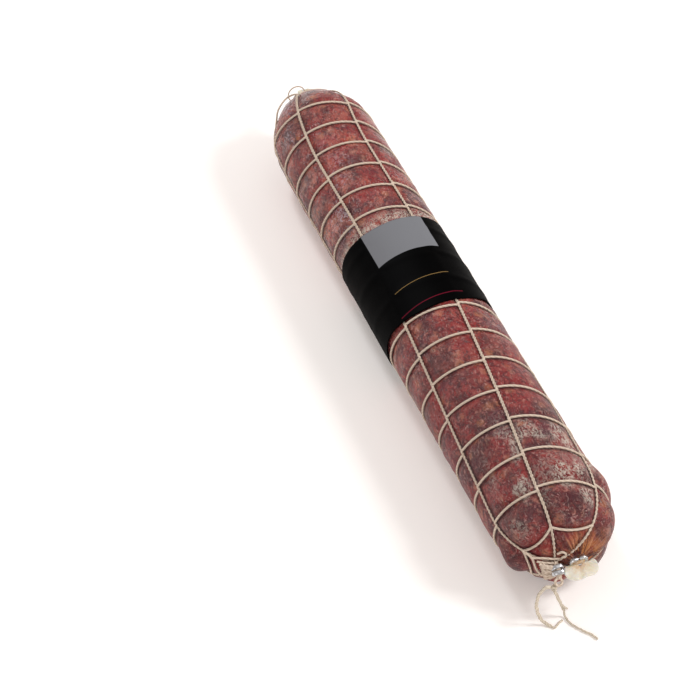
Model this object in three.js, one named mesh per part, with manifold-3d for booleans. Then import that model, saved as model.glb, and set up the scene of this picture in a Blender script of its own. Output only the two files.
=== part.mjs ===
// A large cured sausage in a natural casing: tied in one knitted net, clipped at both ends and banded
// with a paper sleeve. Millimetres, +Z up. X runs along the sausage towards the end with the hanging
// string, Y to its side. Everything is laid out around the sausage's own axis, and the finished group
// is moved so that it lies on Z = 0 with its middle over the origin.
import * as THREE from "three";
import { mergeVertices } from "three/addons/utils/BufferGeometryUtils.js";
import Module from "manifold-3d";

const wasm = await Module();
wasm.setup();

// ---- driving dimensions ----
const NET_RADIUS = 45; // from the axis to the middle of the net's strings
const MEAT_RADIUS = 42.9;
const MEAT_FLAT = 41.3; // from the axis down to the flattened underside
const AROUND = 40; // sides of the sausage

const FRONT_SHOULDER = 49.5; // where the front end starts to round off
const FRONT_TIP = 103.5;
const FRONT_POWER = 2.2; // the front end is blunter than an ellipse, which is 2
const BACK_SHOULDER = -400.5;
const BACK_TIP = -461.25;
const BACK_POWER = 2;

const GAP = 0.3; // between pieces that touch
const RING_STRING = 1.0; // radius of the string in the turns
const CHAIN_STRING = 1.2; // radius of the knitted lengthwise chains
const CORD_RADIUS = 1.1; // radius of the hanging string
const STRING_SIDES = 4;
const NET_FLAT = MEAT_FLAT + GAP + CHAIN_STRING; // from the axis down to the strings underneath

const LABEL_BACK = -241.5;
const LABEL_FRONT = -136.4;
const LABEL_PAPER = 0.4;
const LABEL_INNER = NET_RADIUS + CHAIN_STRING + GAP;
const LABEL_INNER_FLAT = NET_FLAT + CHAIN_STRING + GAP / 3;
const FLOOR = LABEL_INNER_FLAT + LABEL_PAPER; // from the axis down to the surface it lies on

// The net: turn n of the string crosses the top at ringX(n), and six chains run along it.
const FIRST_TURN = -0.953;
const LAST_TURN = 16.07;
const DOME_TURN = 15; // from here on the turns lie on the front end
const DOME_SQUEEZE = 0.83; // they sit this much closer there
const BACK_SPREAD = 16; // and the turns before turn 0 lie this much further apart
const CHAINS = 6;
const TURN_STEPS = 20;

const FRONT_GATHER = new THREE.Vector3(103.4, -16.7, 1.5); // where the chains meet
const BACK_GATHER = new THREE.Vector3(-462.6, -13.5, -4);

// ---- surfaces ----
function unit(radius) {
  return Math.min(radius / MEAT_RADIUS, 1);
}

function frontX(radius) {
  const bulge = (1 - unit(radius) ** FRONT_POWER) ** (1 / FRONT_POWER);
  return FRONT_SHOULDER + (FRONT_TIP - FRONT_SHOULDER) * bulge;
}

function backX(radius) {
  const bulge = (1 - unit(radius) ** BACK_POWER) ** (1 / BACK_POWER);
  return BACK_SHOULDER + (BACK_TIP - BACK_SHOULDER) * bulge;
}

function meatRadius(x) {
  if (x > FRONT_SHOULDER) {
    const part = Math.min((x - FRONT_SHOULDER) / (FRONT_TIP - FRONT_SHOULDER), 1);
    return MEAT_RADIUS * (1 - part ** FRONT_POWER) ** (1 / FRONT_POWER);
  }
  if (x < BACK_SHOULDER) {
    const part = Math.min((BACK_SHOULDER - x) / (BACK_SHOULDER - BACK_TIP), 1);
    return MEAT_RADIUS * (1 - part ** BACK_POWER) ** (1 / BACK_POWER);
  }
  return MEAT_RADIUS;
}

// A point that lies on the net's surface: `angle` is measured from the top towards +Y.
function onNet(x, angle) {
  const radius = meatRadius(x);
  const slope = (meatRadius(x - 0.5) - meatRadius(x + 0.5)) / Math.hypot(1, 1);
  const normal = new THREE.Vector2(1, slope).normalize();
  const lift = NET_RADIUS - MEAT_RADIUS;
  const r = radius + lift * Math.abs(normal.x);
  const point = new THREE.Vector3(x + lift * normal.y, r * Math.sin(angle), r * Math.cos(angle));
  point.z = Math.max(point.z, -NET_FLAT);
  return point;
}

// The same surface on a rounded end, where it is `y`, `z` away from the axis.
function onEnd(y, z, front) {
  const radius = Math.hypot(y, z);
  const x = front ? frontX(radius) : backX(radius);
  return onNet(x, Math.atan2(y, z));
}

// ---- solids ----
function solid(geometry) {
  const bare = geometry.clone();
  bare.deleteAttribute("normal");
  bare.deleteAttribute("uv");
  const merged = mergeVertices(bare, 1e-4);
  return new wasm.Manifold(
    new wasm.Mesh({
      numProp: 3,
      vertProperties: new Float32Array(merged.attributes.position.array),
      triVerts: new Uint32Array(merged.index.array),
    }),
  );
}

function geometryOf(manifold) {
  const mesh = manifold.getMesh();
  const geometry = new THREE.BufferGeometry();
  geometry.setAttribute("position", new THREE.BufferAttribute(mesh.vertProperties, 3));
  geometry.setIndex(new THREE.BufferAttribute(mesh.triVerts, 1));
  return geometry;
}

// Drops the small closed voids that can stay between strings where they cross.
function outerSkin(manifold) {
  const bodies = manifold.decompose();
  return bodies.reduce((best, body) => (body.volume() > best.volume() ? body : best));
}

function circle(radius, sides) {
  const shape = new THREE.Shape();
  for (let i = 0; i < sides; i++) {
    const turn = (2 * Math.PI * i) / sides;
    const x = radius * Math.cos(turn);
    const y = radius * Math.sin(turn);
    if (i === 0) shape.moveTo(x, y);
    else shape.lineTo(x, y);
  }
  shape.closePath();
  return shape;
}

function tube(curve, radius, sides, steps) {
  return new THREE.ExtrudeGeometry(circle(radius, sides), { steps, extrudePath: curve });
}

function smooth(points) {
  return new THREE.CatmullRomCurve3(points, false, "centripetal");
}

// Cuts away everything lower than `depth` under the axis, which leaves a flat underside.
function flattened(manifold, depth) {
  const size = 200;
  const box = new THREE.BoxGeometry(8 * size, size, size);
  box.translate(0, 0, -depth - size / 2);
  return manifold.subtract(solid(box));
}

// A rod of elliptical section along X.
function neck(fromX, toX, halfWidth, halfHeight, y, z) {
  const rod = new THREE.CylinderGeometry(1, 1, toX - fromX, 16);
  rod.rotateZ(Math.PI / 2);
  rod.scale(1, halfWidth, halfHeight);
  rod.translate((fromX + toX) / 2, y, z);
  return solid(rod);
}

// ---- the sausage: meat in its casing, with the casing gathered into a tail at each end ----
const NECK_HALF_WIDTH = 3.7;
const NECK_HALF_HEIGHT = 2.0;
const FRONT_NECK_Z = 1.5;
const TAIL_THICK = 2.6;

function bodyProfile() {
  const steps = 12;
  const profile = [];
  for (let i = 0; i <= steps; i++) {
    const turn = (Math.PI / 2) * (i / steps);
    const radius = MEAT_RADIUS * Math.sin(turn);
    profile.push(new THREE.Vector2(radius, backX(radius)));
  }
  for (let i = steps; i >= 0; i--) {
    const turn = (Math.PI / 2) * (i / steps);
    const radius = MEAT_RADIUS * Math.sin(turn);
    profile.push(new THREE.Vector2(radius, frontX(radius)));
  }
  return profile;
}

function body() {
  const lathe = new THREE.LatheGeometry(bodyProfile(), AROUND);
  lathe.rotateZ(-Math.PI / 2); // the lathe's axis Y becomes +X
  return solid(lathe);
}

// The flared end of the casing: a fan in plan, `length` long, leaving the clip at the origin.
function fan(length, leftReach, rightReach) {
  const half = NECK_HALF_WIDTH - 0.4;
  const shape = new THREE.Shape();
  shape.moveTo(0, -half);
  shape.quadraticCurveTo(length * 0.35, -leftReach, length * 0.72, -leftReach);
  shape.quadraticCurveTo(length * 1.08, -leftReach * 0.5, length, 0.1 * rightReach);
  shape.quadraticCurveTo(length * 0.98, rightReach * 0.7, length * 0.68, rightReach);
  shape.quadraticCurveTo(length * 0.3, rightReach * 0.75, 0, half);
  shape.closePath();
  const geometry = new THREE.ExtrudeGeometry(shape, {
    depth: TAIL_THICK,
    steps: 1,
    bevelEnabled: false,
    curveSegments: 5,
  });
  geometry.translate(0, 0, -TAIL_THICK / 2);
  return geometry;
}

function frontTail() {
  const geometry = fan(13.5, 10, 14);
  geometry.rotateY(THREE.MathUtils.degToRad(12));
  geometry.translate(FRONT_TIP + 8, 0, FRONT_NECK_Z);
  return solid(geometry);
}

function backTail() {
  const geometry = fan(14, 1, 12);
  geometry.rotateZ(THREE.MathUtils.degToRad(42));
  geometry.rotateX(THREE.MathUtils.degToRad(28));
  geometry.scale(-1, 1, 1);
  flip(geometry);
  geometry.translate(BACK_TIP - 8.2, 1.5, 0);
  return solid(geometry);
}

// Turns every face round, after a mirroring.
function flip(geometry) {
  const position = geometry.attributes.position;
  for (let i = 0; i < position.count; i += 3) {
    const a = new THREE.Vector3().fromBufferAttribute(position, i);
    const b = new THREE.Vector3().fromBufferAttribute(position, i + 1);
    position.setXYZ(i, b.x, b.y, b.z);
    position.setXYZ(i + 1, a.x, a.y, a.z);
  }
}

function sausage() {
  const frontNeck = neck(
    FRONT_TIP - 6,
    FRONT_TIP + 10,
    NECK_HALF_WIDTH,
    NECK_HALF_HEIGHT,
    0,
    FRONT_NECK_Z,
  );
  const backNeck = neck(BACK_TIP - 9, BACK_TIP + 6, NECK_HALF_WIDTH, NECK_HALF_HEIGHT, 0, 0);
  const whole = body().add(frontNeck).add(backNeck).add(frontTail()).add(backTail());
  return geometryOf(flattened(whole, MEAT_FLAT));
}

// ---- the net: one knitted tube of string ----
function ringX(turn) {
  const even = (n) => 45 * (-9.05 + 0.64 * n + 0.0042 * n * n);
  if (turn < 0) return even(turn) + BACK_SPREAD * turn;
  if (turn <= DOME_TURN) return even(turn);
  return even(DOME_TURN) + DOME_SQUEEZE * (even(turn) - even(DOME_TURN));
}

class Turns extends THREE.Curve {
  getPoint(part, target = new THREE.Vector3()) {
    const turn = THREE.MathUtils.lerp(FIRST_TURN, LAST_TURN, part);
    return target.copy(onNet(ringX(turn), 2 * Math.PI * turn));
  }

  // Every step is one vertex of the polyline, so equal steps of the turn are wanted.
  getPointAt(part, target) {
    return this.getPoint(part, target);
  }
}

const STRAIGHT_UNTIL = -261; // the chains run straight behind the sleeve and twist slowly after it
const BACK_SWIRL = 26; // degrees by which they swing round on the back end
const LOWER_CHAIN = 1; // the one chain that lies a little lower than an even spacing puts it
const LOWERED = 4.5; // degrees
const SWIRL_FROM = -335;
const SWIRL_TO = -465;

function chainAngle(x, chain) {
  const past = Math.max(x - STRAIGHT_UNTIL, 0) / NET_RADIUS;
  const part = THREE.MathUtils.clamp((x - SWIRL_FROM) / (SWIRL_TO - SWIRL_FROM), 0, 1);
  const swirl = BACK_SWIRL * part ** 2;
  const lowered = chain === LOWER_CHAIN ? LOWERED : 0;
  const degrees = 19 - 2.19 * past ** 1.47 + swirl + lowered + (360 / CHAINS) * chain;
  return THREE.MathUtils.degToRad(degrees);
}

const CHAIN_FRONT = 67; // the chains leave the straight part of the net here
const CHAIN_BACK = -446;
const CROWD = 1.4; // the points of its way are closer together at the shoulder
const NECK_KEEP = 9; // a chain passes the casing's neck at least this far off

// The chain's way over a rounded end, in a straight line as seen along the axis, led round the neck.
function overEnd(x, chain, gather, front) {
  const start = onNet(x, chainAngle(x, chain));
  const from = new THREE.Vector2(start.y, start.z);
  const to = new THREE.Vector2(gather.y, gather.z);
  const way = to.clone().sub(from).normalize();
  const nearest = from.clone().addScaledVector(way, -from.dot(way));
  const corners = [from];
  if (nearest.length() < NECK_KEEP && from.dot(to) < 0) corners.push(nearest.setLength(NECK_KEEP));
  corners.push(to);
  const points = [];
  for (let i = 0; i < corners.length - 1; i++) {
    const pieces = corners.length === 2 ? 8 : 6;
    for (let j = 1; j <= pieces; j++) {
      const part = i === 0 ? (j / pieces) ** CROWD : j / pieces;
      const at = corners[i].clone().lerp(corners[i + 1], part);
      points.push(onEnd(at.x, at.y, front));
    }
  }
  points[points.length - 1] = gather.clone();
  return points;
}

function chain(number) {
  const points = overEnd(CHAIN_BACK, number, BACK_GATHER, false).reverse();
  const pieces = 30;
  for (let i = 0; i <= pieces; i++) {
    const x = THREE.MathUtils.lerp(CHAIN_BACK, CHAIN_FRONT, (i / pieces) ** CROWD);
    points.push(onNet(x, chainAngle(x, number)));
  }
  points.push(...overEnd(CHAIN_FRONT, number, FRONT_GATHER, true));
  return tube(new Polyline(points), CHAIN_STRING, STRING_SIDES, points.length - 1);
}

// A curve that goes through its points in equal steps, with a corner at each.
class Polyline extends THREE.Curve {
  constructor(points) {
    super();
    this.points = points;
  }

  getPoint(part, target = new THREE.Vector3()) {
    const place = part * (this.points.length - 1);
    const index = Math.min(Math.floor(place), this.points.length - 2);
    return target.lerpVectors(this.points[index], this.points[index + 1], place - index);
  }

  getPointAt(part, target) {
    return this.getPoint(part, target);
  }
}

// The gathered strings: a short rope at each end, which the net's clips hold.
const ROPE_RADIUS = 2.3;
const FRONT_ROPE = [
  FRONT_GATHER,
  new THREE.Vector3(107.6, -16.7, 1.2),
  new THREE.Vector3(111.2, -17.0, -1.2),
  new THREE.Vector3(114.4, -18.2, -3.8),
];
const BACK_ROPE = [
  BACK_GATHER,
  new THREE.Vector3(-466.5, -13.0, -4.0),
  new THREE.Vector3(-470.5, -12.4, -3.6),
  new THREE.Vector3(-474, -11.2, -2.4),
];
const EYELET_RADIUS = 2.9;
const BACK_LOOP_RADIUS = 8;

function eyelet() {
  const ring = new THREE.TorusGeometry(EYELET_RADIUS, 0.9, 6, 14);
  ring.rotateY(THREE.MathUtils.degToRad(62));
  ring.translate(115.8, -18.6, -5.6);
  return solid(ring);
}

function backLoop() {
  const ring = new THREE.TorusGeometry(BACK_LOOP_RADIUS, 0.7, 6, 22);
  ring.rotateY(THREE.MathUtils.degToRad(80));
  ring.translate(-473.5, -5, 6.4);
  return solid(ring);
}

function net() {
  const steps = Math.round((LAST_TURN - FIRST_TURN) * TURN_STEPS);
  let whole = solid(tube(new Turns(), RING_STRING, STRING_SIDES, steps));
  for (let i = 0; i < CHAINS; i++) whole = whole.add(solid(chain(i)));
  whole = whole.add(solid(tube(smooth(FRONT_ROPE), ROPE_RADIUS, 10, 6)));
  whole = whole.add(solid(tube(smooth(BACK_ROPE), ROPE_RADIUS, 10, 6)));
  return geometryOf(outerSkin(whole.add(eyelet()).add(backLoop())));
}

// ---- the paper sleeve ----
function drum(radius, depth, overhang) {
  const length = LABEL_FRONT - LABEL_BACK + 2 * overhang;
  const cylinder = new THREE.CylinderGeometry(radius, radius, length, 60);
  cylinder.rotateZ(Math.PI / 2);
  cylinder.translate((LABEL_BACK + LABEL_FRONT) / 2, 0, 0);
  return flattened(solid(cylinder), depth);
}

function label() {
  const outside = drum(LABEL_INNER + LABEL_PAPER, FLOOR, 0);
  return geometryOf(outside.subtract(drum(LABEL_INNER, LABEL_INNER_FLAT, 5)));
}

// ---- aluminium clips ----
// A strip of wire bent round the bunch, its two ends meeting in a seam on top: a rounded ring that is
// `thick` along X, with its middle at the origin.
function clip(outerWidth, outerHeight, holeWidth, holeHeight, thick) {
  const outline = new THREE.Shape();
  const w = outerWidth / 2;
  const h = outerHeight / 2;
  const seam = 0.5;
  outline.moveTo(-w + h, -h);
  outline.lineTo(w - h, -h);
  outline.absarc(w - h, 0, h, -Math.PI / 2, Math.PI / 2, false);
  outline.lineTo(seam, h);
  outline.lineTo(0, h - 2 * seam);
  outline.lineTo(-seam, h);
  outline.lineTo(-w + h, h);
  outline.absarc(-w + h, 0, h, Math.PI / 2, 1.5 * Math.PI, false);
  const hole = new THREE.Path();
  hole.absellipse(0, 0, holeWidth / 2, holeHeight / 2, 0, 2 * Math.PI, false, 0);
  outline.holes.push(hole);
  const geometry = new THREE.ExtrudeGeometry(outline, {
    depth: thick,
    steps: 1,
    bevelEnabled: false,
    curveSegments: 8,
  });
  geometry.translate(0, 0, -thick / 2);
  geometry.rotateY(Math.PI / 2);
  geometry.rotateX(Math.PI / 2);
  return geometry;
}

const CASING_CLIP_THICK = 4.6;
const NET_CLIP_THICK = 2.8;

function casingClip() {
  const width = 2 * NECK_HALF_WIDTH + 2 * GAP;
  const height = 2 * NECK_HALF_HEIGHT + 2 * GAP;
  return clip(14.5, 7.6, width, height, CASING_CLIP_THICK);
}

function netClip() {
  const hole = 2 * ROPE_RADIUS + 2.5 * GAP;
  return clip(9.8, 7.4, hole, hole, NET_CLIP_THICK);
}

// ---- the hanging string ----
// It is tied to the net's eyelet: one strand is a loop down to the surface and back, the other runs
// down beside it and ends in a tail on the surface.
const CORD_DOWN = -FLOOR + CORD_RADIUS + 0.1; // height of a strand's middle where it lies
const LOOP_ROUTE = [
  [117.0, -26.0, -6.7],
  [117.0, -28.0, -5.9],
  [117.0, -30.2, -6.2],
  [117.0, -32.6, -8.3],
  [117.0, -34.6, -12.0],
  [117.1, -35.7, -16.5],
  [117.2, -36.0, -21.5],
  [117.4, -35.5, -27.0],
  [117.9, -34.0, -33.0],
  [118.8, -31.8, -38.5],
  [120.6, -29.0, -42.0],
  [123.4, -26.4, CORD_DOWN],
  [125.6, -24.2, CORD_DOWN],
  [125.2, -22.2, CORD_DOWN],
  [123.6, -20.4, CORD_DOWN],
  [122.3, -18.2, CORD_DOWN],
  [121.4, -15.9, CORD_DOWN],
];
const TAIL_ROUTE = [
  [117.2, -22.2, -12.4],
  [117.1, -21.0, -16.0],
  [117.0, -19.5, -20.0],
  [117.0, -18.0, -24.2],
  [117.0, -16.2, -28.8],
  [117.0, -14.6, -33.0],
  [117.1, -13.4, -36.8],
  [117.6, -12.8, -40.0],
  [118.8, -12.6, -42.4],
  [121.0, -12.5, CORD_DOWN],
  [124.6, -12.0, CORD_DOWN],
  [128.8, -10.4, CORD_DOWN],
  [132.8, -7.9, CORD_DOWN],
  [136.8, -5.0, CORD_DOWN],
  [140.0, -2.8, CORD_DOWN],
  [143.2, -0.8, CORD_DOWN],
  [146.2, 1.0, CORD_DOWN],
];

function cord(route) {
  const curve = smooth(route.map((point) => new THREE.Vector3(...point)));
  const steps = Math.round(curve.getLength() / (5 * CORD_RADIUS));
  return tube(curve, CORD_RADIUS, 8, steps);
}

function loopKnot() {
  const knot = new THREE.TorusKnotGeometry(1.35, 0.75, 28, 5, 2, 3);
  const core = new THREE.IcosahedronGeometry(1.5, 1);
  return geometryOf(solid(knot).add(solid(core)));
}

// ---- the assembly ----
const PAINT = {
  meat: { color: 0x7a2a30, roughness: 0.45, metalness: 0 },
  string: { color: 0xd8c09c, roughness: 0.9, metalness: 0 },
  paper: { color: 0x111111, roughness: 0.4, metalness: 0 },
  metal: { color: 0xc9ccd0, roughness: 0.25, metalness: 1 },
};

const part = new THREE.Group();
const onTheSurface = new THREE.Group();
const loose = new THREE.Group();
part.add(onTheSurface, loose);

function place(group, name, geometry, paint) {
  const mesh = new THREE.Mesh(geometry, new THREE.MeshStandardMaterial(PAINT[paint]));
  mesh.name = name;
  group.add(mesh);
  return mesh;
}

// Turns a clip, which faces +X, so that the bunch from `from` to `to` passes through its middle.
function thread(mesh, from, to, part) {
  mesh.position.lerpVectors(from, to, part);
  const along = to.clone().sub(from).normalize();
  mesh.quaternion.setFromUnitVectors(new THREE.Vector3(1, 0, 0), along);
}

place(onTheSurface, "sausage", sausage(), "meat");
place(onTheSurface, "net", net(), "string");
place(onTheSurface, "label_sleeve", label(), "paper");

const frontCasingClip = place(onTheSurface, "front_casing_clip", casingClip(), "metal");
frontCasingClip.position.set(FRONT_TIP + 3.9, 0, FRONT_NECK_Z);
const backCasingClip = place(onTheSurface, "back_casing_clip", casingClip(), "metal");
backCasingClip.position.set(BACK_TIP - 3, 0, 0);

const innerNetClip = place(onTheSurface, "front_net_clip_inner", netClip(), "metal");
thread(innerNetClip, FRONT_ROPE[0], FRONT_ROPE[1], 0.72);
const outerNetClip = place(onTheSurface, "front_net_clip_outer", netClip(), "metal");
thread(outerNetClip, FRONT_ROPE[1], FRONT_ROPE[2], 0.85);
const backNetClip = place(onTheSurface, "back_net_clip", netClip(), "metal");
thread(backNetClip, BACK_ROPE[1], BACK_ROPE[2], 0.4);

const knot = place(onTheSurface, "loop_knot", loopKnot(), "string");
knot.position.set(117.0, -23.0, -8.9);

place(loose, "hanging_loop", cord(LOOP_ROUTE), "string");
place(loose, "hanging_tail", cord(TAIL_ROUTE), "string");

const extent = new THREE.Box3().setFromObject(onTheSurface);
const middle = extent.getCenter(new THREE.Vector3());
part.position.set(-middle.x, -middle.y, FLOOR);

export default part;
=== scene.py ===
import math

import bpy
import numpy as np
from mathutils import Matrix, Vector, noise
from mathutils.kdtree import KDTree


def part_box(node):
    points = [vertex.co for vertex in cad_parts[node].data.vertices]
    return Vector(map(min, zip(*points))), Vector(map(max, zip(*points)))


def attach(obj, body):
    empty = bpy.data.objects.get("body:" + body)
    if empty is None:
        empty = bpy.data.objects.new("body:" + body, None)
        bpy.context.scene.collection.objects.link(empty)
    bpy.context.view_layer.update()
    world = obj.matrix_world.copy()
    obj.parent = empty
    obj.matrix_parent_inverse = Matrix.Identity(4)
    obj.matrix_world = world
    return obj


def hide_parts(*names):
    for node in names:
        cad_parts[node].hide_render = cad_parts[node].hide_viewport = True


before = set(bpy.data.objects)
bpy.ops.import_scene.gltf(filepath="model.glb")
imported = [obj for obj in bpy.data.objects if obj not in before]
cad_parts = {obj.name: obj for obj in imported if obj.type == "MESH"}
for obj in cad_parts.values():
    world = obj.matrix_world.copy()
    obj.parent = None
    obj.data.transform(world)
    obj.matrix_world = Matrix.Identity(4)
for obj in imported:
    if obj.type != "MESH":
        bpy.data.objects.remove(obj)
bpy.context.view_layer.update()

# Metres. Shapes are laid out around the sausage's own axis: x along it, a height above it and an angle
# from the top towards +Y. AXIS_X and AXIS_Z carry them into the frame.
SLEEVE_LOW, SLEEVE_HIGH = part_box("label_sleeve")
SLEEVE_BACK = -0.2415
SLEEVE_FRONT = -0.1364
AXIS_X = SLEEVE_LOW.x - SLEEVE_BACK
CAD_SLEEVE_RADIUS = 0.0469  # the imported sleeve's outside
AXIS_Z = SLEEVE_HIGH.z - CAD_SLEEVE_RADIUS
FLOOR = -AXIS_Z

NET_RADIUS = 0.045
MEAT_RADIUS = 0.0429
LIFT = NET_RADIUS - MEAT_RADIUS  # from the meat's skin to the middle of a string
FRONT_SHOULDER = 0.0495
FRONT_TIP = 0.1035
FRONT_POWER = 2.2
BACK_SHOULDER = -0.4005
BACK_TIP = -0.46125
BACK_POWER = 2
NECK = 0.0034  # the radius to which the casing is gathered
FRONT_NECK_Z = 0.0015  # how far the front neck lies above the axis

RING_STRING = 0.00098
CHAIN_STRAND = 0.00064
FIRST_TURN = -1.1  # the spiral string's turns, counted from the back end
LAST_TURN = 16.2
DOME_TURN = 15  # past this the turns lie on the front end, closer together by DOME_SQUEEZE
DOME_SQUEEZE = 0.77
BACK_SPREAD = 0.016  # the turns before turn 0 lie this much further apart
CHAINS = 6
FRONT_GATHER = Vector((0.1034, -0.0167, 0.0015))
BACK_GATHER = Vector((-0.4626, -0.0135, -0.004))


def lerp(a, b, part):
    return a + (b - a) * part


def smooth_step(low, high, value):
    part = np.clip((value - low) / (high - low), 0, 1)
    return part * part * (3 - 2 * part)


def in_frame(points):
    return np.asarray(points, float) + np.array([AXIS_X, 0, AXIS_Z])


def distances(points):
    """How far along a line each of its points is."""
    return np.concatenate([[0], np.cumsum(np.linalg.norm(np.diff(points, axis=0), axis=1))])


def unit(vectors):
    """Each row brought to a length of 1."""
    return vectors / np.maximum(np.linalg.norm(vectors, axis=1, keepdims=True), 1e-9)


def hump(value, middle, width):
    """1 at the middle, and falling off on both sides."""
    return np.exp(-(((value - middle) / width) ** 2))


# ---- the camera ----
CAMERA_AZIMUTH = 68.83
CAMERA_ELEVATION = 44.1
CAMERA_PLACE = (1.0237, -0.5314, 1.2267)  # from the axis at x = 0
CAMERA_LENS = 114.3  # mm, on a sensor 36 mm wide


def make_camera():
    bpy.ops.object.select_all(action="DESELECT")
    tilt = math.radians(90 - CAMERA_ELEVATION)
    place = tuple(in_frame(CAMERA_PLACE))
    bpy.ops.object.camera_add(location=place, rotation=(tilt, 0, math.radians(CAMERA_AZIMUTH)))
    camera = bpy.context.object
    camera.name = "camera"
    camera.data.sensor_width = 36
    camera.data.lens = CAMERA_LENS
    camera.data.clip_end = 20
    bpy.context.scene.camera = camera


make_camera()


# ---- materials ----
class Wire:
    """A socket in a material, on which arithmetic adds Math nodes."""

    def __init__(self, paint, socket):
        self.paint = paint
        self.socket = socket

    def math(self, operation, *others):
        return self.paint.node("ShaderNodeMath", {"operation": operation}, [self, *others])

    def __add__(self, other):
        return self.math("ADD", other)

    __radd__ = __add__

    def __mul__(self, other):
        return self.math("MULTIPLY", other)

    __rmul__ = __mul__

    def __sub__(self, other):
        return self.math("SUBTRACT", other)

    def __rsub__(self, other):
        return self.paint.node("ShaderNodeMath", {"operation": "SUBTRACT"}, [other, self])

    def step(self, low, high):
        """0 below low, 1 above high and smooth between."""
        inputs = {"Value": self, "From Min": low, "From Max": high}
        return self.paint.node("ShaderNodeMapRange", {"interpolation_type": "SMOOTHSTEP"}, inputs)


class Paint:
    """A material and its node tree."""

    def __init__(self, name):
        self.material = bpy.data.materials.new(name)
        self.material.use_nodes = True
        self.tree = self.material.node_tree
        self.tree.nodes.clear()
        self.output = self.tree.nodes.new("ShaderNodeOutputMaterial")

    def node(self, kind, settings=None, inputs=None, output=0):
        made = self.tree.nodes.new(kind)
        for name, value in (settings or {}).items():
            setattr(made, name, value)
        pairs = inputs.items() if isinstance(inputs, dict) else enumerate(inputs or [])
        for key, value in pairs:
            if isinstance(value, Wire):
                self.tree.links.new(value.socket, made.inputs[key])
            else:
                made.inputs[key].default_value = value
        return Wire(self, made.outputs[output])

    def place(self):
        return self.node("ShaderNodeTexCoord", output="Object")

    def own(self, attribute):
        return self.node("ShaderNodeAttribute", {"attribute_name": attribute}, output="Fac")

    def flat(self, uv_map):
        """The two coordinates of a UV map."""
        uv = self.node("ShaderNodeUVMap", {"uv_map": uv_map})
        first = self.node("ShaderNodeSeparateXYZ", None, [uv])
        return first, Wire(self, first.socket.node.outputs[1])

    def noise(self, place, scale, detail=3, roughness=0.55, distortion=0):
        inputs = {"Vector": place, "Scale": scale, "Detail": detail, "Roughness": roughness}
        return self.node("ShaderNodeTexNoise", None, {**inputs, "Distortion": distortion})

    def cells(self, place, scale, output="Distance"):
        return self.node("ShaderNodeTexVoronoi", None, {"Vector": place, "Scale": scale}, output)

    def mix(self, part, low, high):
        """The colour low where part is 0, and high where it is 1."""
        colours = [(*colour, 1) if isinstance(colour, tuple) else colour for colour in (low, high)]
        return self.node("ShaderNodeMix", {"data_type": "RGBA"}, {0: part, 6: colours[0], 7: colours[1]}, 2)

    def moved(self, place, shift, amount):
        """The place moved along the colour of a noise, which wanders round a half."""
        centred = self.node("ShaderNodeVectorMath", {"operation": "SUBTRACT"}, [shift, (0.5, 0.5, 0.5)])
        scaled = self.node("ShaderNodeVectorMath", {"operation": "SCALE"}, {0: centred, 3: amount})
        return self.node("ShaderNodeVectorMath", {"operation": "ADD"}, [place, scaled])

    def bump(self, height, distance, strength=1.0):
        inputs = {"Strength": strength, "Distance": distance, "Height": height}
        return self.node("ShaderNodeBump", None, inputs)

    def surface(self, **values):
        """The material with its shader, whose sockets are named with _ for a space."""
        inputs = {name.replace("_", " "): value for name, value in values.items()}
        shader = self.node("ShaderNodeBsdfPrincipled", None, inputs, "BSDF")
        self.tree.links.new(shader.socket, self.output.inputs["Surface"])
        return self.material


DARK_LEAN = (0.080, 0.0052, 0.0100)
RED_LEAN = (0.240, 0.0070, 0.0105)
PALE_LEAN = (0.345, 0.060, 0.050)
PURPLE_LEAN = (0.078, 0.010, 0.026)
TAWNY_FAT = (0.50, 0.190, 0.085)
PINK_FAT = (0.52, 0.225, 0.165)
SMALL_FAT = (0.54, 0.215, 0.165)
FAT_AND_SHEEN_RED = (0.52, 0.135, 0.090)
DRIED = (0.040, 0.006, 0.011)
PALE_FLECK_AND_GLINT = (0.60, 0.330, 0.300)
PAINTED_GLINT = (0.58, 0.49, 0.57)
STRING_SHADE = (0.035, 0.009, 0.010)
NECK_FAT = (0.50, 0.185, 0.045)
PAINTED_PLEAT_HIGHLIGHT = (0.62, 0.300, 0.160)
PAINTED_PLEAT_SHADE = (0.060, 0.010, 0.012)
POWDER = (0.64, 0.58, 0.50)


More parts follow.
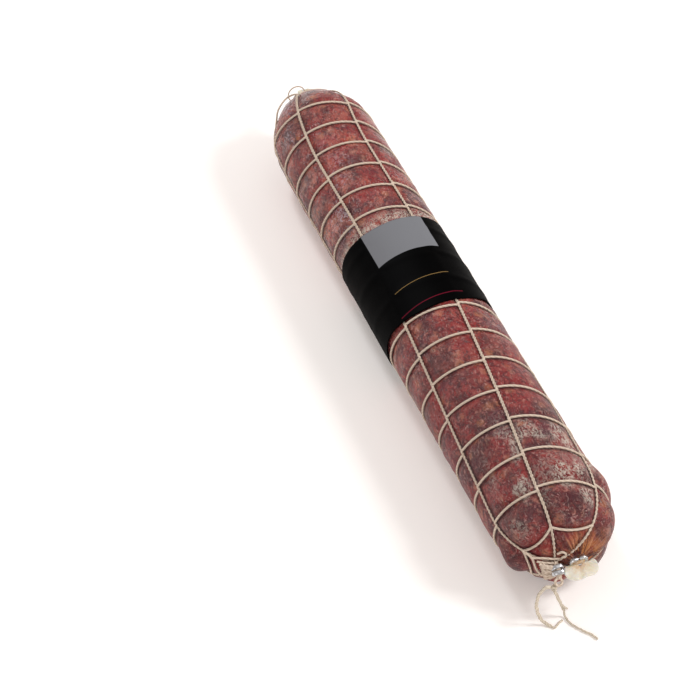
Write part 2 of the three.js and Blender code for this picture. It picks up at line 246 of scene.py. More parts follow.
def meat_finish():
    """Coarse lean and fat behind a thin casing, with a dry bloom in places and a wet shine in others."""
    paint = Paint("cased_meat")
    place = paint.place()
    wander = paint.node("ShaderNodeTexNoise", None, {"Vector": place, "Scale": 190, "Detail": 5}, "Color")
    soft = paint.moved(place, wander, 0.009)
    grain = paint.node("ShaderNodeMapping", None, {"Vector": soft, "Scale": (0.55, 1, 1)})

    broad = paint.noise(place, 30, 3).step(0.40, 0.60)
    lean = paint.mix(broad, DARK_LEAN, RED_LEAN)
    fine = paint.noise(soft, 120, 6, 0.70).step(0.44, 0.66)
    lean = paint.mix(fine * 0.58, lean, PALE_LEAN)
    purple = paint.noise(soft, 50, 3).step(0.52, 0.66)
    lean = paint.mix(purple * 0.60, lean, PURPLE_LEAN)

    def lumps(scale, share, inner, outer):
        """Cells of fat: `share` is how far up a cell's random number must be for it to show."""
        pick = paint.node("ShaderNodeSeparateColor", None, [paint.cells(soft, scale, "Color")])
        shape = 1 - paint.cells(soft, scale).step(inner, outer)
        return pick.step(share, share + 0.05) * shape

    tint = paint.noise(place, 48, 2).step(0.40, 0.60)
    fat = paint.mix(tint, TAWNY_FAT, PINK_FAT)
    colour = paint.mix(lumps(115, 0.70, 0.10, 0.66) * 0.55, lean, fat)
    colour = paint.mix(lumps(260, 0.64, 0.15, 0.55) * 0.45, colour, SMALL_FAT)
    # Lighter orange-red patches over the back half: partly fat, partly a painted sheen of broad light on
    # the casing.
    fat_and_sheen = paint.own("wet") * paint.noise(soft, 75, 3).step(0.46, 0.64)
    colour = paint.mix(fat_and_sheen * 0.45, colour, FAT_AND_SHEEN_RED)

    dark = paint.noise(grain, 420, 4, 0.65).step(0.51, 0.59)
    colour = paint.mix(dark * 0.66, colour, DRIED)
    # Pale flecks: partly fat specks and partly painted glints off the crinkled casing.
    fleck_and_glint = paint.noise(grain, 560, 3, 0.6, 0.3).step(0.575, 0.625)
    more = paint.noise(place, 70, 2).step(0.35, 0.62)
    colour = paint.mix(fleck_and_glint * (0.16 + 0.40 * more), colour, PALE_FLECK_AND_GLINT)
    # Painted glints: pale lavender flecks on the left flank of the back half, in place of shine off the
    # wet, crinkled casing.
    film = paint.noise(grain, 430, 3, 0.6, 0.4).step(0.53, 0.59) * paint.own("film")
    colour = paint.mix(film * 0.54, colour, PAINTED_GLINT)

    # Painted shade in the grooves along both sides of each string, darkest next to it.
    painted_string_shade = 1 - paint.own("near_string").step(0.0009, 0.0028)
    colour = paint.mix(painted_string_shade * 0.42, colour, STRING_SHADE)

    tail_fat = paint.own("neck_fat") * paint.noise(soft, 120, 3).step(0.35, 0.6)
    colour = paint.mix(tail_fat * 0.8, colour, NECK_FAT)
    # Painted highlights along the pleat ridges and painted shade in their hollows, round the front neck.
    colour = paint.mix(paint.own("pleat"), colour, PAINTED_PLEAT_HIGHLIGHT)
    colour = paint.mix(paint.own("pleat_shade"), colour, PAINTED_PLEAT_SHADE)

    bloom = paint.own("bloom")
    dust = paint.noise(grain, 620, 5, 0.75).step(0.45, 0.56) * bloom
    colour = paint.mix(dust * 0.80, colour, POWDER)

    wet = paint.own("wet") * paint.noise(place, 44, 2).step(0.42, 0.58)
    folds = paint.noise(grain, 240, 3, 0.5, 0.5)
    wrinkle = paint.noise(grain, 620, 4, 0.7)
    relief = paint.bump(folds * 0.6 + wrinkle * (0.42 - 0.26 * wet), 0.0038, 1.0)
    roughness = 0.38 - wet * 0.29 + dust * 0.30 + bloom * 0.14
    return paint.surface(
        Base_Color=colour,
        Roughness=roughness,
        Normal=relief,
        Subsurface_Weight=0.04,
        Subsurface_Radius=(0.003, 0.0009, 0.0006),
        Subsurface_Scale=1.0,
        Specular_IOR_Level=0.30,
    )


def string_finish(name, light, dark, twist):
    """Cotton string: its UV runs along it in metres and once round it."""
    paint = Paint(name)
    along, around = paint.flat("along")
    stripe = (along * (2 * math.pi / twist) + around * (2 * math.pi * 3)).math("SINE")
    ply = stripe * 0.5 + 0.5
    place = paint.place()
    fuzz = paint.noise(place, 1500, 3, 0.7)
    stain = paint.noise(place, 60, 3).step(0.35, 0.7)
    # The ply stripe mixes the dark tone into the light one: painted shade in the grooves between the plies,
    # plus a random fibre tone from the fuzz.
    colour = paint.mix(ply * 0.55 + fuzz * 0.3, dark, light)
    colour = paint.mix(stain * 0.35, colour, tuple(0.72 * c for c in light))
    relief = paint.bump(ply * 0.8 + fuzz * 0.35, 0.0003, 0.8)
    return paint.surface(Base_Color=colour, Roughness=0.85, Normal=relief, Specular_IOR_Level=0.2)


PANEL_FRONT = -0.2030  # the grey panel runs from here to the sleeve's back edge
PANEL_LOW = math.radians(-42.5)
PANEL_HIGH = math.radians(26)
GOLD_RULE = -0.1695
RED_RULE = -0.1456
PAPER_BLACK = (0.0006, 0.0006, 0.0007)
PANEL_GREY = (0.185, 0.192, 0.210)
GOLD = (0.30, 0.19, 0.07)
RED = (0.16, 0.008, 0.024)


def paper_finish():
    """The sleeve's UV holds x along the axis, in metres, and the angle round it."""
    paint = Paint("sleeve_paper")
    x, angle = paint.flat("flat")
    edge = 0.00012

    def band(value, low, high, soft):
        return value.step(low - soft, low + soft) * (1 - value.step(high - soft, high + soft))

    def rule(middle, half, first, last):
        return band(x, middle - half, middle + half, edge) * band(angle, first, last, 0.004)

    panel = band(x, -1, PANEL_FRONT, edge) * band(angle, PANEL_LOW, PANEL_HIGH, 0.003)
    place = paint.place()
    tooth = paint.noise(place, 900, 3)
    colour = paint.mix(panel, PAPER_BLACK, PANEL_GREY)
    gold = rule(GOLD_RULE, 0.00032, math.radians(-42), math.radians(18))
    colour = paint.mix(gold * 0.8, colour, GOLD)
    red = rule(RED_RULE, 0.00045, math.radians(-49), math.radians(21))
    colour = paint.mix(red * 0.8, colour, RED)
    relief = paint.bump(tooth, 0.0001, 0.25)
    return paint.surface(Base_Color=colour, Roughness=0.5 + tooth * 0.1, Normal=relief, IOR=1.07)


def aluminium_finish():
    paint = Paint("clip_aluminium")
    place = paint.place()
    scratch = paint.noise(place, 900, 4, 0.7)
    broad = paint.noise(place, 160, 2)
    colour = paint.mix(broad, (0.42, 0.43, 0.45), (0.74, 0.75, 0.77))
    relief = paint.bump(scratch * 0.4 + broad, 0.0003, 0.25)
    return paint.surface(Base_Color=colour, Metallic=1.0, Roughness=0.18 + scratch * 0.2, Normal=relief)


def casing_finish():
    paint = Paint("casing_tail")
    place = paint.place()
    cloud = paint.noise(place, 260, 3).step(0.3, 0.7)
    vein = paint.noise(place, 520, 5, 0.7, 0.6).step(0.42, 0.6)
    near = paint.own("near_clip")
    colour = paint.mix(cloud, (0.80, 0.75, 0.64), (0.88, 0.85, 0.78))
    colour = paint.mix(near * vein * 0.75, colour, (0.62, 0.36, 0.12))
    colour = paint.mix(near * near * 0.6, colour, (0.50, 0.27, 0.11))
    relief = paint.bump(vein + cloud * 0.5, 0.0005, 0.5)
    return paint.surface(
        Base_Color=colour,
        Roughness=0.34 + vein * 0.2,
        Normal=relief,
        Subsurface_Weight=0.5,
        Subsurface_Radius=(0.004, 0.003, 0.002),
        Subsurface_Scale=1.0,
        Alpha=0.93,
    )


def floor_finish():
    paint = Paint("floor")
    return paint.surface(
        Base_Color=(0.93, 0.925, 0.92, 1),
        Roughness=0.85,
        Specular_IOR_Level=0.1,
        Emission_Color=(1.0, 0.90, 0.84, 1),
        Emission_Strength=0.19,
    )


MEAT = meat_finish()
NET_STRING = string_finish("net_string", (0.80, 0.68, 0.57), (0.50, 0.39, 0.30), 0.0042)
LOOSE_STRING = string_finish("hanging_string", (0.80, 0.72, 0.60), (0.52, 0.44, 0.34), 0.0030)
PAPER = paper_finish()
ALUMINIUM = aluminium_finish()
CASING = casing_finish()


# ---- making pieces ----
def settle(piece, name, material, node):
    """Names and paints a piece, and makes it stand for its CAD node."""
    piece.name = name
    piece.data.name = name
    piece.data.materials.clear()
    piece.data.materials.append(material)
    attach(piece, "root")
    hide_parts(node)
    return piece


def mesh_piece(vertices, faces, uv=None, uv_name="along"):
    """A smooth mesh object from points in the axis's own coordinates. uv has one row per vertex."""
    mesh = bpy.data.meshes.new("piece")
    mesh.from_pydata(in_frame(vertices).tolist(), [], [list(map(int, f)) for f in faces])
    if uv is not None:
        layer = mesh.uv_layers.new(name=uv_name)
        corner = np.zeros(len(mesh.loops), np.int32)
        mesh.loops.foreach_get("vertex_index", corner)
        layer.data.foreach_set("uv", np.asarray(uv, np.float32)[corner].ravel())
    mesh.shade_smooth()
    mesh.update()
    piece = bpy.data.objects.new("piece", mesh)
    bpy.context.collection.objects.link(piece)
    return piece


def join_parts(parts):
    """Vertices, faces and uv of several sweeps as one set."""
    vertices, faces, uv = [], [], []
    count = 0
    for v, f, t in parts:
        vertices.append(v)
        uv.append(t)
        faces.extend([[i + count for i in face] for face in f])
        count += len(v)
    return np.concatenate(vertices), faces, np.concatenate(uv)


def outward(points):
    """The direction away from the sausage's axis at each point."""
    out = np.array(points, float)
    out[:, 0] = 0
    return unit(out)


def sweep(points, width, height=None, sides=8, up=None, closed=False, power=1.0):
    """A tube along points, with half-axes width and height; a power below 1 squares its section."""
    points = np.asarray(points, float)
    count = len(points)
    width = np.broadcast_to(width, count)
    height = width if height is None else np.broadcast_to(height, count)
    if closed:
        tangent = np.roll(points, -1, 0) - np.roll(points, 1, 0)
    else:
        tangent = np.gradient(points, axis=0)
    tangent = unit(tangent)
    up = outward(points) if up is None else np.broadcast_to(up, points.shape)
    normal = unit(up - (up * tangent).sum(1)[:, None] * tangent)
    side = np.cross(tangent, normal)
    turn = 2 * math.pi * np.arange(sides) / sides
    wide = np.sign(np.cos(turn)) * np.abs(np.cos(turn)) ** power
    high = np.sign(np.sin(turn)) * np.abs(np.sin(turn)) ** power
    ring = (
        side[:, None] * (wide[None, :, None] * width[:, None, None])
        + normal[:, None] * (high[None, :, None] * height[:, None, None])
    )
    vertices = (points[:, None] + ring).reshape(-1, 3)
    around = np.arange(sides)[None, :] / sides
    uv = np.stack(np.broadcast_arrays(distances(points)[:, None], around), -1).reshape(-1, 2)
    rows = count if closed else count - 1
    i = np.arange(rows)[:, None] * sides
    j = np.arange(sides)[None, :]
    k = (j + 1) % sides
    n = ((np.arange(rows)[:, None] + 1) % count) * sides
    faces = np.stack([i + j, i + k, n + k, n + j], -1).reshape(-1, 4).tolist()
    if not closed:
        faces.append(list(range(sides))[::-1])
        last = (count - 1) * sides
        faces.append([last + s for s in range(sides)])
    return vertices, faces, uv


def even(points, step):
    """The same line with points about `step` apart."""
    points = np.asarray(points, float)
    along = distances(points)
    count = max(2, int(round(along[-1] / step)) + 1)
    at = np.linspace(0, along[-1], count)
    return np.stack([np.interp(at, along, points[:, axis]) for axis in range(3)], 1)


def spline(points, step):
    """A smooth line through given points, with points about `step` apart."""
    points = np.asarray(points, float)
    padded = np.vstack([2 * points[0] - points[1], points, 2 * points[-1] - points[-2]])
    line = []
    for a, b, c, d in zip(padded, padded[1:], padded[2:], padded[3:]):
        for part in np.linspace(0, 1, 16, endpoint=False):
            line.append(
                0.5
                * (
                    2 * b
                    + (c - a) * part
                    + (2 * a - 5 * b + 4 * c - d) * part**2
                    + (3 * b - a - 3 * c + d) * part**3
                )
            )
    line.append(points[-1])
    return even(line, step)


# ---- the hanging string ----
CORD_RADIUS = 0.0011
CORD_DOWN = FLOOR + CORD_RADIUS + 0.0001  # the height of a strand's middle where it lies
STRING_UP = (1, 0.25, 0.35)  # the way that its flat side faces
LOOP_ROUTE = [
    (0.1170, -0.0260, -0.0067),
    (0.1170, -0.0280, -0.0059),
    (0.1170, -0.0302, -0.0062),
    (0.1170, -0.0326, -0.0083),
    (0.1170, -0.0346, -0.0120),
    (0.1171, -0.0357, -0.0165),
    (0.1172, -0.0360, -0.0215),
    (0.1174, -0.0355, -0.0270),
    (0.1179, -0.0340, -0.0330),
    (0.1188, -0.0318, -0.0385),
    (0.1206, -0.0290, -0.0420),
    (0.1234, -0.0264, CORD_DOWN),
    (0.1256, -0.0242, CORD_DOWN),
    (0.1252, -0.0222, CORD_DOWN),
    (0.1236, -0.0204, CORD_DOWN),
    (0.1223, -0.0182, CORD_DOWN),
    (0.1214, -0.0159, CORD_DOWN),
]
TAIL_ROUTE = [
    (0.1172, -0.0222, -0.0124),
    (0.1171, -0.0210, -0.0160),
    (0.1170, -0.0195, -0.0200),
    (0.1170, -0.0180, -0.0242),
    (0.1170, -0.0162, -0.0288),
    (0.1170, -0.0146, -0.0330),
    (0.1171, -0.0134, -0.0368),
    (0.1176, -0.0128, -0.0400),
    (0.1188, -0.0126, -0.0424),
    (0.1210, -0.0125, CORD_DOWN),
    (0.1246, -0.0120, CORD_DOWN),
    (0.1288, -0.0104, CORD_DOWN),
    (0.1328, -0.0079, CORD_DOWN),
    (0.1368, -0.0050, CORD_DOWN),
    (0.1400, -0.0028, CORD_DOWN),
    (0.1432, -0.0008, CORD_DOWN),
    (0.1462, 0.0010, CORD_DOWN),
]

BARB = [  # a short end of yarn that stands off the tail
    (0.1170, -0.0162, -0.0288),
    (0.1172, -0.0146, -0.0322),
    (0.1180, -0.0122, -0.0350),
    (0.1184, -0.0108, -0.0362),
]
KNOT_PLACE = (0.1170, -0.0230, -0.0089)
KNOT_RADIUS = 0.00135


def line_length(points):
    return float(np.linalg.norm(np.diff(points, axis=0), axis=1).sum())


def wavy(count, scale, seed):
    """Smooth random numbers, about -1 to 1, for points along a line."""
    return np.array([noise.noise(Vector((i * scale, seed, 0.5))) for i in range(count)])


def hanging_piece(name, node, route, wide, thin, narrow_from):
    """A strand that is `wide` like a flat ribbon at first and one thin yarn from `narrow_from` on."""
    line = spline(route, 0.0005)
    count = len(line)
    part = np.linspace(0, 1, count)
    narrow = smooth_step(narrow_from - 0.02, narrow_from + 0.02, part)
    stitches = 1 + 0.10 * np.sin(np.arange(count) * 1.9)
    ribbon = wide * (1 + 0.22 * wavy(count, 0.11, 3.0)) * stitches
    across = lerp(ribbon, thin * (1 + 0.15 * wavy(count, 0.3, 5.0)), narrow)
    deep = lerp(0.62 * ribbon, thin, narrow)
    wobble = np.stack([wavy(count, 0.16, seed) for seed in (7.0, 8.0, 9.0)], -1)
    shape = line + 0.0006 * wobble * smooth_step(0, 0.1, part)[:, None]
    shape[:, 2] = np.maximum(line[:, 2] - (CORD_RADIUS - deep), FLOOR + deep + 0.0001)
    vertices, faces, uv = sweep(shape, across, deep, 10, up=STRING_UP)
    vertices[:, 2] = np.maximum(vertices[:, 2], FLOOR + 0.00005)
    piece = mesh_piece(vertices, faces, uv)
    settle(piece, name, LOOSE_STRING, node)
    return piece, line


def knot():
    """A trefoil, drawn small."""
    turn = np.linspace(0, 2 * math.pi, 120, endpoint=False)
    ring = KNOT_RADIUS * (1 + 0.5 * np.cos(3 * turn))
    height = KNOT_RADIUS * 0.6 * np.sin(3 * turn)
    line = np.stack([ring * np.cos(2 * turn), ring * np.sin(2 * turn), height], -1)
    line += np.array(KNOT_PLACE)
    piece = mesh_piece(*sweep(line, 0.0009, 0.0009, 8, up=(0.1, 0.2, 1), closed=True))
    return settle(piece, "string_knot", LOOSE_STRING, "loop_knot")


def hanging_string():
    loop, loop_line = hanging_piece("string_loop", "hanging_loop", LOOP_ROUTE, 0.0014, 0.0008, 0.80)
    tail_piece, tail_line = hanging_piece("string_tail", "hanging_tail", TAIL_ROUTE, 0.0012, 0.0008, 0.42)
    barb = mesh_piece(*sweep(spline(BARB, 0.0005), 0.0008, 0.0005, 8, up=STRING_UP))
    settle(barb, "string_barb", LOOSE_STRING, "hanging_tail")
    cords = ((loop, loop_line, "object", [knot()]), (tail_piece, tail_line, "bare", [barb]))


hanging_string()


# ---- the sausage's outline ----
def front_x(radius):
    bulge = (1 - np.clip(radius / MEAT_RADIUS, 0, 1) ** FRONT_POWER) ** (1 / FRONT_POWER)
    return lerp(FRONT_SHOULDER, FRONT_TIP, bulge)


def back_x(radius):
    bulge = (1 - np.clip(radius / MEAT_RADIUS, 0, 1) ** BACK_POWER) ** (1 / BACK_POWER)
    return lerp(BACK_SHOULDER, BACK_TIP, bulge)


def meat_radius(x):
    front = np.clip((x - FRONT_SHOULDER) / (FRONT_TIP - FRONT_SHOULDER), 0, 1)
    back = np.clip((x - BACK_SHOULDER) / (BACK_TIP - BACK_SHOULDER), 0, 1)
    blunt = (1 - front**FRONT_POWER) ** (1 / FRONT_POWER)
    return MEAT_RADIUS * blunt * (1 - back**BACK_POWER) ** (1 / BACK_POWER)


def on_net(x, angle):
    """Points on the surface in which the strings' middles lie."""
    x = np.asarray(x, float)
    near = 0.0002
    slope = (meat_radius(x - near) - meat_radius(x + near)) / (2 * near)
    length = np.sqrt(1 + slope**2)
    radius = meat_radius(x) + LIFT / length
    height = np.maximum(radius * np.cos(angle), FLOOR + RING_STRING)
    return np.stack([x + LIFT * slope / length, radius * np.sin(angle), height], -1)


def end_places(shoulder, tip):
    """Places along the axis on an end, and the strings' distance from the axis there, from the tip on."""
    x = np.linspace(tip, shoulder, 400)
    return x, on_net(x, 0.0)[:, 2]


FRONT_PLACES = end_places(FRONT_SHOULDER, FRONT_TIP - 0.0001)
BACK_PLACES = end_places(BACK_SHOULDER, BACK_TIP + 0.0001)


def on_end(y, z, front):
    x, radius = FRONT_PLACES if front else BACK_PLACES
    return on_net(np.interp(np.hypot(y, z), radius, x), np.arctan2(y, z))


# ---- the net's lines ----
TURN_START = -9.05  # where turn 0 lies, the way to the next turn and how that grows, in net radii
TURN_STEP = 0.64
TURN_GROWTH = 0.0042


def turn_x(turn):
    """Where the spiral string is along the axis after so many turns."""

    def steady(n):
        return NET_RADIUS * (TURN_START + TURN_STEP * n + TURN_GROWTH * n * n)

    past = steady(np.maximum(turn, DOME_TURN)) - steady(DOME_TURN)
    spread = BACK_SPREAD * np.minimum(turn, 0)
    return steady(np.minimum(turn, DOME_TURN)) + DOME_SQUEEZE * past + spread


TOP_CHAIN = 19  # degrees from the top
STRAIGHT_UNTIL = -0.261  # in front of this the chains wind round by TWIST degrees, ever more
TWIST = 2.19
TWIST_POWER = 1.47
BACK_SWIRL = 26  # degrees by which the chains swing round on the back end
LOWER_CHAIN = 1  # the one chain that lies a little lower than an even spacing puts it
LOWERED = 4.5  # degrees
SWIRL_FROM = -0.335
SWIRL_TO = -0.465
CHAIN_FRONT = 0.067
CHAIN_BACK = -0.446
NECK_KEEP = 0.009  # how far from the neck's middle a chain is led round it
CHAIN_STEP = 0.0008
SPIRAL_STEP = 0.0013


def chain_angle(x, chain):
    past = np.maximum(x - STRAIGHT_UNTIL, 0) / NET_RADIUS
    swirl = BACK_SWIRL * np.clip((x - SWIRL_FROM) / (SWIRL_TO - SWIRL_FROM), 0, 1) ** 2
    lowered = LOWERED if chain == LOWER_CHAIN else 0
    wound = TWIST * past**TWIST_POWER
    return np.radians(TOP_CHAIN - wound + swirl + lowered + 360 / CHAINS * chain)


def over_end(x, chain, gather, front):
    """A chain's way over a rounded end to where the net is gathered, led round the casing's neck."""
    start = on_net(x, chain_angle(x, chain))[1:]
    goal = np.array([gather.y, gather.z])
    way = (goal - start) / np.linalg.norm(goal - start)
    nearest = start - start.dot(way) * way
    corners = [start]
    if np.linalg.norm(nearest) < NECK_KEEP and start.dot(goal) < 0:
        corners.append(nearest / np.linalg.norm(nearest) * NECK_KEEP)
    corners.append(goal)
    flat = even([(*c, 0) for c in corners], 0.0003)[:, :2]
    return on_end(flat[1:, 0], flat[1:, 1], front)


def chain_line(chain):
    middle = np.linspace(CHAIN_BACK, CHAIN_FRONT, 480)
    body = on_net(middle, chain_angle(middle, chain))
    back = over_end(CHAIN_BACK, chain, BACK_GATHER, False)[::-1]
    front = over_end(CHAIN_FRONT, chain, FRONT_GATHER, True)
    return even(np.vstack([back, body, front]), CHAIN_STEP)


CHAIN_LINES = [chain_line(chain) for chain in range(CHAINS)]


def crossings():
    """Where the spiral string crosses the chains: pairs of turn and point, in order."""
    found = []
    for line in CHAIN_LINES:
        angle = np.unwrap(np.arctan2(line[:, 1], line[:, 2]))
        for whole in range(-3, 20):
            turn = angle / (2 * math.pi) + whole
            offset = turn_x(turn) - line[:, 0]
            for i in np.nonzero(np.diff(np.sign(offset)))[0]:
                if FIRST_TURN <= turn[i] <= LAST_TURN:
                    found.append((float(turn[i]), line[i]))
    return sorted(found, key=lambda pair: pair[0])


CROSSINGS = crossings()
CHORDS_FROM = 0.080  # in front of this the string runs straight from chain to chain
STEP_BACK = 0.0015  # the string enters a chain this far in front of where it leaves it


def spiral_line():
    points = []
    part = np.linspace(0, 1, 33)
    for (turn, point), (next_turn, next_point) in zip(CROSSINGS, CROSSINGS[1:]):
        if max(point[0], next_point[0]) > CHORDS_FROM:
            flat = lerp(point[None, 1:], next_point[None, 1:], part[:, None])
            points.append(on_end(flat[:, 0], flat[:, 1], True))
        else:
            angle = math.atan2(point[1], point[2])
            angles = lerp(angle, angle + 2 * math.pi * (next_turn - turn), part)
            shift = STEP_BACK * (2 * part - 1)
            points.append(on_net(lerp(point[0], next_point[0], part) + shift, angles))
    return even(np.vstack(points), SPIRAL_STEP)


SPIRAL_LINE = spiral_line()


# ---- the sausage ----
SEGMENTS = 224
RINGS = 430
BULGE = 0.0019  # how far the meat swells between the strings
SWELL_WIDTH = 0.0042
END_BULGE = 0.0042  # and how much more in the wide meshes at the front end
END_SWELL_WIDTH = 0.0095
LOW_SIDE = -1.95  # the angle at which the front end bulges most
SKIN = 0.0008
MEAT_OFF_FLOOR = 0.0009  # the strings are under it there


def outline():
    """The sausage's outline from pole to pole: its x and radius at RINGS + 1 even steps."""
    turn = np.linspace(math.asin(NECK / MEAT_RADIUS), math.pi / 2, 160)
    radius = MEAT_RADIUS * np.sin(turn)
    flare = np.exp(-(radius - NECK) / 0.0022)
    back = np.stack([back_x(radius) - 0.003 * flare, radius], -1)
    front = np.stack([front_x(radius) + 0.0022 * flare, radius], -1)[::-1]
    back_end = [(back[0, 0] - 0.0026, 0), (back[0, 0] - 0.0026, NECK * 0.9)]
    front_end = [(front[-1, 0] + 0.003, NECK * 0.9), (front[-1, 0] + 0.003, 0)]
    line = np.vstack([back_end, back, front, front_end])
    along = distances(line)
    at = np.linspace(0, along[-1], RINGS + 1)
    return np.interp(at, along, line[:, 0]), np.interp(at, along, line[:, 1])


def string_tree():
    lines = np.vstack([SPIRAL_LINE, *CHAIN_LINES])
    tree = KDTree(len(lines))
    for i, point in enumerate(lines):
        tree.insert(point, i)
    tree.balance()
    return tree


STRING_TREE = string_tree()


def string_distance(points):
    return np.array([STRING_TREE.find(p)[2] for p in points])


def rough(points, scale, seed):
    """Smooth noise at points, about -1 to 1."""
    shift = Vector((seed * 7.3, seed * 3.1, seed * 5.7))
    return np.array([noise.noise(Vector(p) * scale + shift) for p in points])


def add_attribute(piece, name, values):
    layer = piece.data.attributes.new(name, "FLOAT", "POINT")
    layer.data.foreach_set("value", np.asarray(values, np.float32))


def casing_swell(x, radius, angle, distance):
    """How far the casing stands out between the strings, by its distance from the nearest one."""
    swell = BULGE * (1 - hump(distance, 0, SWELL_WIDTH))
    low_side = hump(angle, LOW_SIDE, 0.65)
    at_end = smooth_step(0.010, 0.026, radius)
    at_end *= smooth_step(0.030 + 0.030 * low_side, 0.070 + 0.012 * low_side, x)
    swell += END_BULGE * (1 + 0.4 * low_side) * at_end * (1 - hump(distance, 0, END_SWELL_WIDTH))
    return swell * (1 - 0.55 * (1 - smooth_step(-0.440, -0.405, x)))


def under_sleeve(x):
    """1 under the sleeve, which holds the casing in, and 0 beyond it."""
    back = smooth_step(SLEEVE_BACK - 0.008, SLEEVE_BACK, x)
    return back * (1 - smooth_step(SLEEVE_FRONT - 0.004, SLEEVE_FRONT, x))


def sausage():
    bpy.ops.object.select_all(action="DESELECT")
    bpy.ops.mesh.primitive_uv_sphere_add(segments=SEGMENTS, ring_count=RINGS, radius=1)
    piece = bpy.context.object
    mesh = piece.data
    ball = np.zeros(len(mesh.vertices) * 3)
    mesh.vertices.foreach_get("co", ball)
    ball = ball.reshape(-1, 3)

    station = np.round((1 - np.arccos(np.clip(ball[:, 2], -1, 1)) / math.pi) * RINGS).astype(int)
    angle = np.arctan2(ball[:, 0], ball[:, 1])
    xs, radii = outline()
    x, radius = xs[station], radii[station]
    slope_x, slope_r = np.gradient(xs), np.gradient(radii)
    length = np.hypot(slope_x, slope_r)
    normal_x, normal_r = (-slope_r / length)[station], (slope_x / length)[station]
    pole = (station == 0) | (station == RINGS)
    radius = np.where(pole, 0, radius)

    def at(height):
        r = np.maximum(radius + normal_r * height, 0)
        return np.stack([x + normal_x * height, r * np.sin(angle), r * np.cos(angle)], -1)

    skin = at(LIFT)
    distance = string_distance(skin)
    held = under_sleeve(x)
    swell = casing_swell(x, radius, angle, distance) * (1 - 0.75 * held)
    lumps = 0.0007 * rough(skin, 42, 1) + 0.0003 * rough(skin, 130, 2)
    fine = 0.00014 * rough(skin, 330, 3) + 0.00008 * rough(skin, 700, 7)

    towards_neck = 1 - smooth_step(0.006, 0.030, radius)
    out_of_clip = smooth_step(NECK, NECK + 0.002, radius)
    circle = np.stack([np.sin(angle), np.cos(angle), radius * 12], -1)
    pleat = 1 - 2.2 * np.abs(rough(circle, 5.5, 4)) + 0.5 * rough(circle, 13, 5)
    pleats = 0.0019 * pleat * towards_neck * out_of_clip

    height = SKIN + swell + (lumps + fine) * out_of_clip * (1 - 0.8 * held) + pleats
    height = np.where(radius < NECK * 1.05, 0, height)
    points = at(height)
    points[:, 2] = np.maximum(points[:, 2], FLOOR + MEAT_OFF_FLOOR)
    in_front = x > 0
    points[:, 2] += np.where(in_front, FRONT_NECK_Z, 0) * (1 - smooth_step(0.002, 0.02, radius))
    mesh.vertices.foreach_set("co", in_frame(points).ravel())
    mesh.update()
    mesh.shade_smooth()

    add_attribute(piece, "near_string", distance)
    streaked = points * np.array([0.6, 1, 1])
    surface_zones(piece, x, angle, points, streaked)
    neck_zones(piece, radius, angle, circle, towards_neck, in_front)
    settle(piece, "meat_in_casing", MEAT, "sausage")


def surface_zones(piece, x, angle, points, streaked):
    """Where the casing is powdery or wet, and where glints are painted on its left flank."""
    face_up = smooth_step(-0.2, 0.9, np.cos(angle - math.radians(18)))
    front_bloom = smooth_step(-0.02, 0.03, x) * (1 - smooth_step(0.075, 0.098, x)) * face_up
    sleeve_bloom = hump(x, SLEEVE_BACK - 0.003, 0.008) * smooth_step(-0.9, 0.2, np.cos(angle + 0.4))
    patch = smooth_step(0.10, 0.36, rough(streaked, 75, 6))
    patch += 0.30 * smooth_step(-0.2, 0.3, rough(points, 34, 9))
    add_attribute(piece, "bloom", np.clip(front_bloom * patch + 1.1 * sleeve_bloom + 0.06, 0, 1))
    add_attribute(piece, "wet", 1 - smooth_step(-0.20, 0.01, x))
    # The mask for the painted glints, round the left flank of the back half.
    flank = hump(np.degrees(angle), -46, 21)
    film = smooth_step(0.02, 0.30, rough(streaked, 40, 12)) * flank * (1 - smooth_step(-0.20, -0.05, x))
    add_attribute(piece, "film", film)


def neck_zones(piece, radius, angle, circle, towards_neck, in_front):
    """Round the casing's necks: painted highlights along pleat ridges, painted shade in their hollows, and
    where fat shows through the casing.
    """
    rays = circle * np.array([1, 1, 0.25])
    streak = rough(rays, 15, 8) + 0.5 * rough(rays, 31, 11)
    streaky = (1 - smooth_step(0.008, 0.030, radius)) * in_front
    # pleat holds painted highlights on the ridges; pleat_shade holds painted shade in the hollows.
    add_attribute(piece, "pleat", 0.6 * streaky * smooth_step(0.10, 0.45, streak))
    add_attribute(piece, "pleat_shade", 0.95 * streaky * smooth_step(0.02, 0.26, -streak))
    fatty = towards_neck * in_front * smooth_step(-0.6, 0.6, np.sin(angle + 0.3)) + 0.3 * towards_neck
    add_attribute(piece, "neck_fat", np.clip(fatty, 0, 1))


sausage()


# ---- the net ----
STITCH = 0.0034
KNIT_STEP = 0.00075


def knit_strands(line):
    """The two strands of a knitted chain, each a row of slanting stitches."""
    fine_line = even(line, KNIT_STEP)
    along = np.arange(len(fine_line)) * KNIT_STEP
    tangent = unit(np.gradient(fine_line, axis=0))
    normal = outward(fine_line)
    side = np.cross(tangent, normal)
    wave = 2 * math.pi * along / STITCH
    strands = []
    for hand in (-1, 1):
        reach = hand * (0.00050 + 0.00016 * np.cos(wave))
        rise = 0.00018 * np.sin(wave)
        thick = CHAIN_STRAND * (0.86 + 0.22 * np.cos(wave + 0.6))
        middle = fine_line + side * reach[:, None] + normal * rise[:, None]
        strands.append(sweep(middle, thick, thick * 0.92, 7))
    return strands


def net():
    chains = [strand for line in CHAIN_LINES for strand in knit_strands(line)]
    piece = mesh_piece(*join_parts(chains))
    settle(piece, "net_chains", NET_STRING, "net")
    spiral = mesh_piece(*sweep(SPIRAL_LINE, RING_STRING, RING_STRING * 0.9, 8))
    settle(spiral, "net_spiral", NET_STRING, "net")


net()

